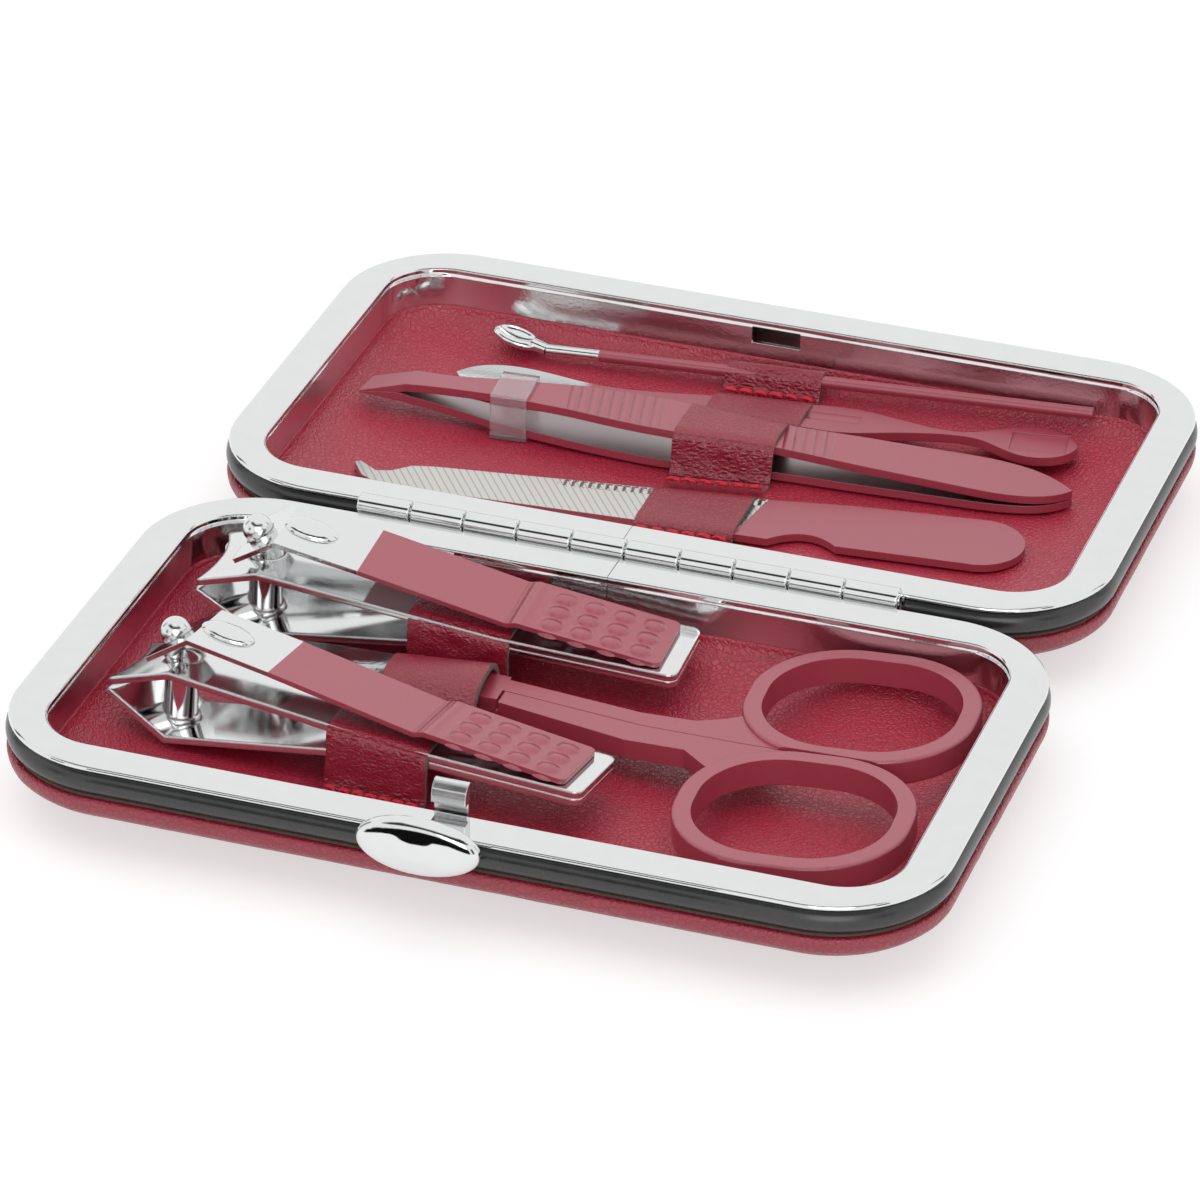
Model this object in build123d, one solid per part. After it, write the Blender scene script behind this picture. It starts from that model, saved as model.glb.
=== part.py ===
from build123d import *
from math import atan2, cos, degrees, hypot, radians, sin
import os

os.makedirs("parts", exist_ok=True)

# Manicure set case: two shallow leather-covered halves with chromed sheet
# frames, hinged together, holding eight grooming tools under leather straps.
# Everything is drawn about the hinge line: X along the hinge, the bottom half
# on -Y, the lid (opened flat) on +Y, and z = 0 on the plane of both flanges.
# save() then moves each piece so that z = 0 is the table.

# ---- case frame ----
FRAME_LENGTH = 110.0
FRAME_WIDTH = 65.5
FRAME_GAP = 3.4              # between the two frames along the hinge
OUTER_CORNER = 14.0
FLANGE_WIDTH = 4.9
WELL_CORNER = 7.2
SHEET = 0.55                 # chromed sheet
WALL_DEPTH = 5.2             # inner wall, below the flange top
OUTER_WALL_INSET = 1.2
OUTER_WALL_DEPTH = 4.6
LIP_RADIUS = 0.5
BUTT_GAP = 0.08
BASE_BUTT_X = -0.3
LID_BUTT_X = 1.3             # before the lid is turned round

# ---- covering ----
BAND_TOP = -0.6
BAND_BOTTOM = -4.0
BAND_BULGE = 0.35
BAND_HINGE_BREAK = 33.5
SHELL_TOP = -4.1
# leather from its top edge to the flat underside, as (inset from the flange edge, z)
SHELL_PROFILE = [(-0.3, -3.6), (-0.3, -4.8), (-0.15, -5.6), (0.3, -6.25), (1.3, -7.1),
                 (2.8, -7.95), (4.6, -8.8), (6.6, -9.75), (8.6, -10.55), (11.0, -11.15),
                 (13.5, -11.48), (17.0, -11.6)]
SHELL_CONCENTRIC = 2.0       # corners stay concentric down to this inset
LEATHER = 0.8
BOARD = 0.7
FLOOR_Z = -9.4
DISH_INSET = 10.0
DISH_ROUNDING = 0.1         # growth of the well's corner radius per mm of inset
HALF_HEIGHT = -SHELL_PROFILE[-1][1]

# ---- hinge ----
KNUCKLE_COUNT = 10
KNUCKLE_PITCH = 6.68
KNUCKLE_RADIUS = 1.4
KNUCKLE_SIDE_GAP = 0.1
KNUCKLE_CHAMFER = 0.15
PIN_RADIUS = 0.6
PIN_FIT = 0.03
AXIS_Z = 0.05
LEAF_FACE = 1.8              # |y| of the leaf's plate
LEAF_BOTTOM = -4.0

# ---- clasp ----
FRONT_EDGE = -FRAME_GAP / 2 - FRAME_WIDTH
BUTTON_LENGTH = 14.4
BUTTON_HEIGHT = 6.9
BUTTON_RIM = 0.6
BUTTON_DOME = 1.6
BUTTON_BACK = FRONT_EDGE - 1.8
BUTTON_X = -1.2
BUTTON_Z = -0.6
HOOK_WIDTH = 4.0
HOOK_SHEET = 0.6
HOOK_FACE = FRONT_EDGE + 5.3
HOOK_TOP = 3.6
HOOK_CATCH = 1.2
HOOK_REACH = 1.0
SHANK_TOP = -1.7
SHANK_HEIGHT = 1.3
CLASP_TRAVEL = 1.2
SLIDE_FIT = 0.08
SLOT_LEFT = -3.9
SLOT_RIGHT = 2.4
SLOT_TOP = -1.1
SLOT_BOTTOM = -3.3

# ---- nail clippers (u forward from the rear end, w up from its underside) ----
PLATE = 0.87
PLATE_HALF_WIDTH = 5.45
BEND_U = 21.8
HEEL_U = 51.15
HEEL_DROP = 5.31
LOWER_TIP = (58.8, -0.9)
UPPER_RISE = 1.85
UPPER_TIP = (58.4, 1.1)
JAW_HOLLOW = 1.3
LEVER_SHEET = 0.6
LEVER_HALF_WIDTH = 4.76
LEVER_TOP = [(2.25, 2.42), (19.6, 3.95), (20.86, 3.62), (39.07, 6.48), (49.35, 7.86), (54.31, 4.4)]
PILLOW_RADIUS = 2.7
PILLOW_RISE = 0.36
EMBOSS_U = 46.3
EMBOSS_SIZE = (3.3, 1.9, 1.0)
POST_U = 52.86
POST_RADIUS = 2.0
POST_TOP = 3.3
COLLAR_RADIUS = 2.4
COLLAR_HEIGHT = 0.7
NECK_RADIUS = 1.25
BALL_W = 6.15
BALL_RADIUS = 1.8
FORK_CLEARANCE = 0.25
CLIPPER_A_POSE = (11.14, -44.02, -5.18, -4.68, 1.21, -5.9)
CLIPPER_B_POSE = (12.14, -13.9, -5.38, 1.38, 2.76, 2.5)

# ---- scissors ----
RING_THICKNESS = 3.3
RING_WALL = 2.2
RING_LENGTH = 27.0
RING_WIDTH = 25.0
RING_CORNER = 11.5
SHANK_THICKNESS = 2.4
HALF_GAP = 0.05
PIVOT = (-13.0, -26.6)
SCREW_RADIUS = 1.2
BLADE_TIP = (-42.5, -24.0)
LAP_X = -5.8
LAP_RELIEF = 0.35
SCISSORS_TOP_Z = -2.8
SCISSORS_PITCH = 2.1
FAR_RING = (34.75, -19.7)
NEAR_RING = (34.05, -44.1)

# ---- flat tools ----
FILE_THICKNESS = 1.0
PUSHER_THICKNESS = 1.2
EAR_ROD_RADIUS = 0.75
ARM_SHEET = 1.05
RIB_RADIUS = 0.6
RIB_DEPTH = 0.2
SLEEVE_LENGTH = 4.6
SLEEVE_WALL = 0.3
STRAP = 0.8
STRAP_WIDTH = 12.3
BASE_STRAP_X = -20.0
LID_STRAP_X = -6.0
LIFT = 0.1                   # tools and straps just clear of the lining

HALF_Y = -(FRAME_GAP + FRAME_WIDTH) / 2
FRONT_REACH = BUTTON_RIM + BUTTON_DOME - BUTTON_BACK
BACK_REACH = BAND_BULGE - FRONT_EDGE
HINGE_Y = (FRONT_REACH - BACK_REACH) / 2

# The tools are laid out for this half and follow it when the case changes.
LAYOUT_LENGTH = 110.0
LAYOUT_WIDTH = 65.5
LAYOUT_Y = -34.45
TOOL_SCALE = min(FRAME_LENGTH / LAYOUT_LENGTH, FRAME_WIDTH / LAYOUT_WIDTH)


def save(name, solid):
    export_step(Pos(0, HINGE_Y, HALF_HEIGHT) * solid, f"parts/{name}.step")


def fit_case(solid, side=1):
    """A tool at its place in its half: side is 1 in the bottom half and -1 in the lid."""
    middle = Pos(0, side * LAYOUT_Y, FLOOR_Z).inverse() * solid
    if TOOL_SCALE != 1:
        middle = middle.scale(TOOL_SCALE, about=(0, 0, 0))
    return Pos(0, side * HALF_Y, FLOOR_Z) * middle


def save_tool(name, solid, side=1):
    save(name, fit_case(solid, side))


def box(x0, x1, y0, y1, z0, z1):
    centre = ((x0 + x1) / 2, (y0 + y1) / 2, (z0 + z1) / 2)
    return Pos(*centre) * Box(x1 - x0, y1 - y0, z1 - z0)


def polygon(points, plane=Plane.XY):
    return plane * make_face(Polyline(*points, close=True))


def offset_line(points, distance):
    """The same open line moved sideways (to its left) with mitred corners."""
    moved = []
    for i, (x, y) in enumerate(points):
        before = points[max(i - 1, 0)]
        after = points[min(i + 1, len(points) - 1)]
        a = direction(before, (x, y)) if i else direction((x, y), after)
        b = direction((x, y), after) if i < len(points) - 1 else a
        nx, ny = -(a[1] + b[1]), a[0] + b[0]
        scale = distance * 2 / (nx * nx + ny * ny)
        moved.append((x + nx * scale, y + ny * scale))
    return moved


def direction(p, q):
    length = hypot(q[0] - p[0], q[1] - p[1])
    return ((q[0] - p[0]) / length, (q[1] - p[1]) / length)


def bent_strip(points, thickness, plane):
    """Closed section of a bent sheet; points run along its underside."""
    top = offset_line(points, thickness)
    return polygon(list(points) + top[::-1], plane)


# ---- case halves ----
def outline(inset, corner, z):
    shape = RectangleRounded(FRAME_LENGTH - 2 * inset, FRAME_WIDTH - 2 * inset, corner)
    return Pos(0, HALF_Y, z) * shape


def ring(inset_out, corner_out, inset_in, corner_in, z0, z1):
    outer = extrude(outline(inset_out, corner_out, z0), z1 - z0)
    return outer - extrude(outline(inset_in, corner_in, z0), z1 - z0)


def shell_corner(inset):
    extra = max(inset - SHELL_CONCENTRIC, 0)
    return OUTER_CORNER - min(inset, SHELL_CONCENTRIC) - 0.4 * extra


def shell_body(depth):
    """Leather outside, moved inwards by depth, as a solid closed at its top."""
    moved = offset_line(SHELL_PROFILE, depth)
    return loft([outline(inset, shell_corner(inset), z) for inset, z in moved], ruled=True)


def below(solid, z):
    return solid & box(-90, 90, -90, 20, -30, z)


def well_dish():
    drop = FLOOR_Z + WALL_DEPTH
    sections = []
    for t in range(0, 91, 10):
        inset = DISH_INSET * (1 - cos(radians(t)))
        z = -WALL_DEPTH + drop * sin(radians(t))
        sections.append(outline(FLANGE_WIDTH + inset, WELL_CORNER + DISH_ROUNDING * inset, z))
    return loft(sections, ruled=True)


def frame(butt_x):
    hinge_edge = HALF_Y + FRAME_WIDTH / 2
    wall_out = OUTER_WALL_INSET
    flange = ring(0, OUTER_CORNER, FLANGE_WIDTH, WELL_CORNER, -SHEET, 0)
    rim_edges = flange.edges().filter_by_position(Axis.Z, -0.01, 0.01)
    well_x = FRAME_LENGTH / 2 - FLANGE_WIDTH / 2
    well_y = FRAME_WIDTH / 2 - FLANGE_WIDTH / 2
    inner_rim = [e for e in rim_edges
                 if abs(e.center().X) < well_x and abs(e.center().Y - HALF_Y) < well_y]
    outer_wall = ring(wall_out, OUTER_CORNER - wall_out, wall_out + SHEET,
                      OUTER_CORNER - wall_out - SHEET, -OUTER_WALL_DEPTH, -SHEET / 2)
    inner_wall = ring(FLANGE_WIDTH - SHEET, WELL_CORNER + SHEET, FLANGE_WIDTH, WELL_CORNER,
                      -WALL_DEPTH, -SHEET / 2)
    body = fillet(inner_rim, LIP_RADIUS) + outer_wall + inner_wall
    slit = box(butt_x, butt_x + BUTT_GAP, hinge_edge - FLANGE_WIDTH - 1, hinge_edge + 1, -10, 1)
    return body - slit


def trim_band():
    path = outline(OUTER_WALL_INSET, OUTER_CORNER - OUTER_WALL_INSET, BAND_TOP).wire()
    along = path.tangent_at(0)
    outward = along.cross(Vector(0, 0, 1))
    if outward.dot(path.position_at(0) - Vector(0, HALF_Y, 0)) < 0:
        outward = -outward
    plane = Plane(origin=path.position_at(0), x_dir=outward, z_dir=along)
    down = -1 if plane.y_dir.Z > 0 else 1
    height = BAND_TOP - BAND_BOTTOM
    apex = (OUTER_WALL_INSET + BAND_BULGE, down * height / 2)
    arc = ThreePointArc((0.02, 0), apex, (0.02, down * height))
    section = make_face([arc, Line((0.02, down * height), (0.02, 0))])
    band = sweep(plane * section, path=path)
    hinge_break = box(-BAND_HINGE_BREAK, BAND_HINGE_BREAK, -5, 0, BAND_BOTTOM - 2, 1)
    return band - hinge_break


def hinge_leaf(own_parity):
    """Plate under the flange edge with every second knuckle and its web."""
    half = KNUCKLE_COUNT * KNUCKLE_PITCH / 2
    wall = FRAME_GAP / 2 + OUTER_WALL_INSET
    leaf = box(-half, half, -wall + 0.01, -LEAF_FACE, LEAF_BOTTOM, -SHEET - 0.03)
    for i in range(own_parity, KNUCKLE_COUNT, 2):
        x0 = -half + i * KNUCKLE_PITCH + KNUCKLE_SIDE_GAP
        x1 = x0 + KNUCKLE_PITCH - 2 * KNUCKLE_SIDE_GAP
        barrel = Cylinder(KNUCKLE_RADIUS, x1 - x0)
        barrel = chamfer(barrel.edges().filter_by(GeomType.CIRCLE), KNUCKLE_CHAMFER)
        knuckle = Pos((x0 + x1) / 2, 0, AXIS_Z) * Rot(Y=90) * barrel
        web = box(x0, x1, -LEAF_FACE - 0.1, -0.8, -1.5, -SHEET - 0.1)
        leaf = leaf + knuckle + web
    bore = Pos(0, 0, AXIS_Z) * Rot(Y=90) * Cylinder(PIN_RADIUS + PIN_FIT, 2 * half + 2)
    return leaf - bore


def turned(solid):
    return Rot(Z=180) * solid


def case_parts():
    outside = shell_body(0)
    inside = shell_body(LEATHER)
    board_inside = shell_body(LEATHER + BOARD)
    leather = below(outside - inside, SHELL_TOP)
    board = below(inside - board_inside, SHELL_TOP)
    pad = below(board_inside, -WALL_DEPTH - 0.02) - well_dish()
    shank_hole = box(-HOOK_WIDTH / 2 - SLIDE_FIT, HOOK_WIDTH / 2 + SLIDE_FIT,
                     FRONT_EDGE - 5, HOOK_FACE + 2,
                     SHANK_TOP - SHANK_HEIGHT - SLIDE_FIT, SHANK_TOP + SLIDE_FIT)
    well_face = -FRONT_EDGE - FLANGE_WIDTH
    catch = box(SLOT_LEFT, SLOT_RIGHT, well_face - 0.8, well_face + 1.7, SLOT_BOTTOM, SLOT_TOP)
    save("base_frame", frame(BASE_BUTT_X) - shank_hole)
    save("lid_frame", turned(frame(LID_BUTT_X)) - catch)
    band = trim_band()
    save("base_trim_band", band - shank_hole)
    save("lid_trim_band", turned(band))
    for name, solid in (("outer_shell", leather), ("board", board)):
        save("base_" + name, solid)
        save("lid_" + name, turned(solid))
    heel_dent = fit_case(place_clipper(CLIPPER_A_POSE, Pos(0, 0, -0.05) * clipper_plates()[0]))
    save("base_lining", pad - heel_dent)
    save("lid_lining", turned(pad))
    save("base_hinge_leaf", hinge_leaf(0))
    save("lid_hinge_leaf", turned(hinge_leaf(0)))
    pin_length = KNUCKLE_COUNT * KNUCKLE_PITCH
    save("hinge_pin", Pos(0, 0, AXIS_Z) * Rot(Y=90) * Cylinder(PIN_RADIUS, pin_length))


# ---- clasp ----
def clasp_parts():
    back = BUTTON_BACK
    shank_bottom = SHANK_TOP - SHANK_HEIGHT
    middle = Pos(BUTTON_X, BUTTON_Z)
    rim_shape = middle * Ellipse(BUTTON_LENGTH / 2, BUTTON_HEIGHT / 2)
    rim = extrude(Plane.XZ.offset(-back) * rim_shape, BUTTON_RIM)
    sections = []
    for t in (0, 25, 48, 67, 82):
        shrink = cos(radians(t))
        shape = middle * Ellipse(BUTTON_LENGTH / 2 * shrink, BUTTON_HEIGHT / 2 * shrink)
        sections.append(Plane.XZ.offset(-back + BUTTON_RIM + BUTTON_DOME * sin(radians(t))) * shape)
    dome = loft(sections)
    socket = box(-HOOK_WIDTH / 2, HOOK_WIDTH / 2, back - 0.8, back + 1, shank_bottom, SHANK_TOP)
    save("clasp_button", rim + dome - socket)

    half = HOOK_WIDTH / 2
    inner = HOOK_FACE + HOOK_SHEET
    shank = box(-half, half, back - 0.79, inner, shank_bottom, SHANK_TOP)
    strip = box(-half, half, HOOK_FACE, inner, shank_bottom, HOOK_TOP)
    lip = polygon([(HOOK_FACE, HOOK_CATCH), (HOOK_FACE - HOOK_REACH, HOOK_CATCH),
                   (HOOK_FACE - HOOK_REACH, HOOK_CATCH + 1.0),
                   (HOOK_FACE - 0.8 * HOOK_REACH, HOOK_TOP - 0.75),
                   (HOOK_FACE - 0.3 * HOOK_REACH, HOOK_TOP - 0.25), (HOOK_FACE, HOOK_TOP)], Plane.YZ)
    lip = extrude(lip, half, both=True)
    wall_inside = -FRAME_GAP / 2 - FRAME_WIDTH + OUTER_WALL_INSET + SHEET
    shoulder = box(-half - 1, half + 1, wall_inside + 0.02, wall_inside + 0.45,
                   shank_bottom, SHANK_TOP)
    save("clasp_hook", shank + strip + lip + shoulder)

    # leaf spring in the frame channel, drawn at its pressed-in length
    near = wall_inside + 0.45 + CLASP_TRAVEL + 0.03
    arc = ThreePointArc((-8, near + 0.55), (0, near), (8, near + 0.55))
    back_arc = ThreePointArc((8, near + 0.8), (0, near + 0.25), (-8, near + 0.8))
    leaf = make_face([arc, Line(arc @ 1, back_arc @ 0), back_arc, Line(back_arc @ 1, arc @ 0)])
    spring = Pos(0, 0, shank_bottom - 0.5) * extrude(leaf, SHANK_HEIGHT + 1.0)
    hole = box(-half - 0.02, half + 0.02, near - 3, near + 5, shank_bottom - 0.02, SHANK_TOP + 0.02)
    save("clasp_spring", spring - hole)


# ---- nail clippers ----
def place_clipper(pose, solid):
    x, y, z, yaw, pitch, roll = pose
    return Pos(x, y, z) * Rot(Z=yaw) * Rot(Y=pitch) * Rot(X=roll) * Rot(Z=180) * solid


def plan_bar(u0, u1, half_width, corner, w0=-10, w1=20):
    bar = RectangleRounded(u1 - u0, 2 * half_width, corner)
    return extrude(Pos((u0 + u1) / 2, 0, w0) * bar, w1 - w0)


def jaw_hollow(tip_u, depth):
    radius = (PLATE_HALF_WIDTH ** 2 + depth ** 2) / (2 * depth)
    return Pos(tip_u + radius - depth, 0, 0) * Cylinder(radius, 60)


def clipper_plates():
    width = 2 * PLATE_HALF_WIDTH
    tip_u, tip_w = LOWER_TIP
    line = [(0, 0), (BEND_U, 0), (HEEL_U, -HEEL_DROP), (tip_u, tip_w)]
    section = bent_strip(line, PLATE, Plane.XZ)
    lower = extrude(section, width / 2, both=True) & plan_bar(0, 60, PLATE_HALF_WIDTH, 1.2)
    lower = lower - jaw_hollow(tip_u, JAW_HOLLOW)
    tip_u, tip_w = UPPER_TIP
    heel_top = 2 * PLATE + UPPER_RISE
    top = [(0, 2 * PLATE), (BEND_U, 2 * PLATE), (HEEL_U, heel_top), (tip_u, tip_w)]
    under = offset_line(top, -(PLATE - 0.01))
    section = polygon(top + under[::-1], Plane.XZ)
    upper = extrude(section, width / 2, both=True) & plan_bar(0, 60, PLATE_HALF_WIDTH, 1.2)
    upper = upper - jaw_hollow(tip_u, JAW_HOLLOW)
    hole = Pos(POST_U - 1.2, 0, 0) * Cylinder(POST_RADIUS + 0.3, 9)
    lower_hole = Pos(POST_U - 1.2, 0, -4) * Cylinder(POST_RADIUS + 0.02, 8)
    collar_hole = collar_at(Cylinder(COLLAR_RADIUS + 0.02, COLLAR_HEIGHT + 0.04))
    return lower - lower_hole - collar_hole, upper - hole


def collar_at(solid):
    """Stands a solid on the lower plate, round the foot of the post."""
    return Pos(POST_U - 1.2, 0, PLATE - HEEL_DROP + COLLAR_HEIGHT / 2) * solid


def clipper_post():
    u = POST_U - 1.2
    barrel = Pos(u, 0, 0) * Cylinder(POST_RADIUS, POST_TOP + HEEL_DROP - 0.25,
                                     align=(Align.CENTER, Align.CENTER, Align.MIN))
    barrel = Pos(0, 0, -HEEL_DROP + 0.25) * barrel
    neck = Pos(POST_U, 0, POST_TOP - 0.2) * Cylinder(NECK_RADIUS, BALL_W - POST_TOP,
                                                     align=(Align.CENTER, Align.CENTER, Align.MIN))
    ball = Pos(POST_U, 0, BALL_W) * Sphere(BALL_RADIUS)
    return barrel + neck + ball + collar_at(Cylinder(COLLAR_RADIUS, COLLAR_HEIGHT))


def clipper_lever():
    under = offset_line(LEVER_TOP, -LEVER_SHEET)
    section = polygon(LEVER_TOP + under[::-1], Plane.XZ)
    u0 = LEVER_TOP[0][0]
    lever = extrude(section, LEVER_HALF_WIDTH, both=True)
    lever = lever & plan_bar(u0, LEVER_TOP[-1][0] + 0.6, LEVER_HALF_WIDTH, 0.9)
    slope = degrees(atan2(LEVER_TOP[1][1] - LEVER_TOP[0][1], LEVER_TOP[1][0] - u0))
    for i in range(4):
        for j in (-1, 0, 1):
            u = u0 + 2.9 + i * 3.6
            w = LEVER_TOP[0][1] + (u - u0) * sin(radians(slope)) + PILLOW_RISE - PILLOW_RADIUS
            lever = lever + Pos(u, 0.25 + j * 2.85, w) * Sphere(PILLOW_RADIUS)
    under_cut = polygon([(u0 - 1, -4), (LEVER_TOP[1][0], -4)] + under[1::-1], Plane.XZ)
    lever = lever - extrude(under_cut, 8, both=True)
    rear, front = LEVER_TOP[3], LEVER_TOP[4]
    rise = (front[1] - rear[1]) / (front[0] - rear[0])
    emboss = Rot(Y=-degrees(atan2(rise, 1))) * scale(Sphere(1), EMBOSS_SIZE)
    lever = lever + Pos(EMBOSS_U, 0, rear[1] + (EMBOSS_U - rear[0]) * rise) * emboss
    under_cut = polygon([(rear[0], -4), (front[0], -4), under[4], under[3]], Plane.XZ)
    lever = lever - extrude(under_cut, 8, both=True)
    seat = Pos(POST_U, 0, BALL_W) * Sphere(BALL_RADIUS + 0.05)
    fork = box(POST_U - NECK_RADIUS - FORK_CLEARANCE, POST_U + 9,
               -NECK_RADIUS - FORK_CLEARANCE, NECK_RADIUS + FORK_CLEARANCE, 0, 12)
    return lever - seat - fork


def clipper_parts():
    lower, upper = clipper_plates()
    post = clipper_post()
    lever = clipper_lever()
    for letter, pose in (("a", CLIPPER_A_POSE), ("b", CLIPPER_B_POSE)):
        save_tool(f"clipper_{letter}_lower_jaw", place_clipper(pose, lower))
        save_tool(f"clipper_{letter}_upper_jaw", place_clipper(pose, upper))
        save_tool(f"clipper_{letter}_post", place_clipper(pose, post))
        save_tool(f"clipper_{letter}_lever", place_clipper(pose, lever))


# ---- scissors (drawn flat with z = 0 on top of the rings, then tipped) ----
def tip_scissors(solid):
    return Pos(FAR_RING[0], 0, SCISSORS_TOP_Z) * Rot(Y=-SCISSORS_PITCH) * Pos(-FAR_RING[0], 0, 0) * solid


def slab(points, z0, z1, rounding=0.0):
    face = polygon(points)
    if rounding:
        face = fillet(face.vertices(), rounding)
    return Pos(0, 0, z0) * extrude(face, z1 - z0)


def finger_ring(centre, turn):
    outer = RectangleRounded(RING_LENGTH, RING_WIDTH, RING_CORNER)
    inner = RectangleRounded(RING_LENGTH - 2 * RING_WALL, RING_WIDTH - 2 * RING_WALL,
                             RING_CORNER - RING_WALL)
    body = extrude(outer, -RING_THICKNESS)
    body = fillet(body.edges().filter_by(Plane.XY), 0.4)
    hole = extrude(inner, -RING_THICKNESS)
    return Pos(*centre, 0) * Rot(Z=turn) * body, Pos(*centre, 0) * Rot(Z=turn) * hole


def blade(z0, z1):
    """One pointed blade with its share of the lap joint, from the shank to the tip."""
    reach = hypot(BLADE_TIP[0] - PIVOT[0], BLADE_TIP[1] - PIVOT[1])
    turn = degrees(atan2(BLADE_TIP[1] - PIVOT[1], BLADE_TIP[0] - PIVOT[0]))
    half = [(-7.7, 2.6), (-2.0, 2.9), (3.0, 2.8), (15.0, 2.0), (reach, 0.3)]
    points = half + [(s, -n) for s, n in half[::-1]]
    flat = Pos(*PIVOT, 0) * Rot(Z=turn) * slab(points, z0, z1)
    return flat & box(-60, LAP_X, -40, -15, -10, 5)


def scissors_parts():
    shank_top = -(RING_THICKNESS - SHANK_THICKNESS) / 2
    shank_low = shank_top - SHANK_THICKNESS
    middle = (shank_top + shank_low) / 2
    far_edge = [(33, -26), (23.5, -24.5), (20.6, -26.6), (17.5, -28.0), (11, -28.0), (LAP_X, -25.2)]
    near_edge = [(LAP_X, -30.4), (11, -34.4), (18.2, -34.6), (21, -37), (23.5, -39), (33, -38)]
    gap = HALF_GAP
    far_shank = slab([(LAP_X, -29), (33, -33)] + far_edge, shank_low, shank_top)
    near_shank = slab([(33, -30.5), (LAP_X, -26.5)] + near_edge, shank_low, shank_top)
    far_ring, far_hole = finger_ring(FAR_RING, 3)
    near_ring, near_hole = finger_ring(NEAR_RING, 3)
    upper = blade(middle + gap / 2, shank_top)
    lower = blade(shank_low, middle - gap / 2)
    screw_hole = Pos(*PIVOT, shank_low) * Cylinder(SCREW_RADIUS + 0.05, 12)
    far_side = joint_side(far_ring + far_shank, 1)
    near_side = joint_side(near_ring + near_shank, -1)
    relief = box(LAP_X, LAP_X + LAP_RELIEF, -40, -15, shank_low - 1, middle)
    far_half = far_side - relief - far_hole + upper - screw_hole
    relief = box(LAP_X, LAP_X + LAP_RELIEF, -40, -15, middle, shank_top + 1)
    near_half = near_side - relief - near_hole + lower - screw_hole
    save_tool("scissors_far_half", tip_scissors(far_half))
    save_tool("scissors_near_half", tip_scissors(near_half))
    rivet = Pos(*PIVOT, shank_low) * Cylinder(SCREW_RADIUS, SHANK_THICKNESS,
                                              align=(Align.CENTER, Align.CENTER, Align.MIN))
    head = Pos(*PIVOT, shank_top) * Cylinder(2.1, 0.5, align=(Align.CENTER, Align.CENTER, Align.MIN))
    save_tool("scissors_screw", tip_scissors(rivet + head))


def joint_side(solid, side):
    """The part of a solid on one side of the joint line between the two halves."""
    gap = side * HALF_GAP
    line = [(-7, -27.55 + gap), (11.8, -30.75 + gap), (24, -31.4 + gap), (60, -32.0 + gap)]
    far = 0 if side > 0 else -70
    return solid & slab(line + [(60, far), (-7, far)], -6, 1)


# ---- lid tools ----
def nail_file():
    hook = [(-42.8, 24.0), (-42.2, 24.5), (-41.3, 23.9), (-39.6, 22.8), (-37.8, 23.4), (-35.8, 25.4)]
    back = [(-32.9, 26.2), (-7.0, 30.2), (6.4, 32.1), (18.6, 34.6)]
    points = hook + back + [(34.5, 36.7)]
    upper = Polyline(*points)
    end = ThreePointArc((34.5, 36.7), (40.2, 31.0), (34.5, 25.4))
    notch = Spline((18.6, 24.0), (15.0, 25.6), (10.4, 22.9))
    lower = Polyline((10.4, 22.9), (-6.5, 21.9), (-21.6, 20.8), (-33.8, 19.9), (-38.1, 19.7),
                     (-40.9, 21.2), (-42.8, 24.0))
    face = make_face([upper, end, Line((34.5, 25.4), (18.6, 24.0)), notch, lower])
    body = extrude(face, -FILE_THICKNESS)
    return Pos(0, 0, FLOOR_Z + 2 * LIFT + FILE_THICKNESS) * body


def cuticle_pusher():
    upper = Spline((-38.6, 49.6), (-35.5, 52.6), (-28.6, 53.2), (-21, 52.0), (-6, 54.0), (5.5, 55.6),
                   (11, 56.3), (21.4, 54.8), (26.6, 55.1), (32.4, 58.4), (37, 58.7), (40.3, 55.5))
    lower = Spline((40.3, 55.5), (38.3, 52.2), (34.0, 51.3), (28.4, 53.6), (23.5, 53.5), (17, 51.6),
                   (10.8, 49.7), (5.5, 49.7), (-6, 48.6), (-21, 48.3), (-30, 46.6), (-36, 47.2),
                   (-38.6, 49.6))
    body = extrude(make_face([upper, lower]), -PUSHER_THICKNESS)
    groove = Pos(9, 53.2, 0.8) * Rot(Z=5) * Rot(Y=90) * Cylinder(1.3, 8)
    pad = Pos(35.5, 55.1, 0.75) * Rot(Z=8) * Box(7, 4.6, 2)
    body = body - groove - pad
    return Pos(0, 0, -7.1) * Rot(Y=-0.75) * body


def ear_pick():
    left = Vector(-29.5, 58.1, -7.0)
    right = Vector(40.7, 61.2, -4.6)
    along = right - left
    rod = Plane(origin=left, z_dir=along) * Cylinder(EAR_ROD_RADIUS, along.length,
                                                     align=(Align.CENTER, Align.CENTER, Align.MIN))
    bowl_centre = left + along.normalized() * -4.2 + Vector(0, 0.9, 0.75)
    tilt = Pos(*tuple(bowl_centre)) * Rot(Y=14)
    bowl = tilt * scale(Sphere(1), (3.2, 2.0, 0.95))
    hollow = tilt * Pos(-0.2, 0, 0.85) * scale(Sphere(1), (2.6, 1.5, 1.0))
    neck_end = bowl_centre + Vector(1.6, -0.1, -0.35)
    neck = Plane(origin=left, z_dir=neck_end - left) * Cone(EAR_ROD_RADIUS, 0.95, (neck_end - left).length,
                                                            align=(Align.CENTER, Align.CENTER, Align.MIN))
    return rod + neck + bowl - hollow


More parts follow.
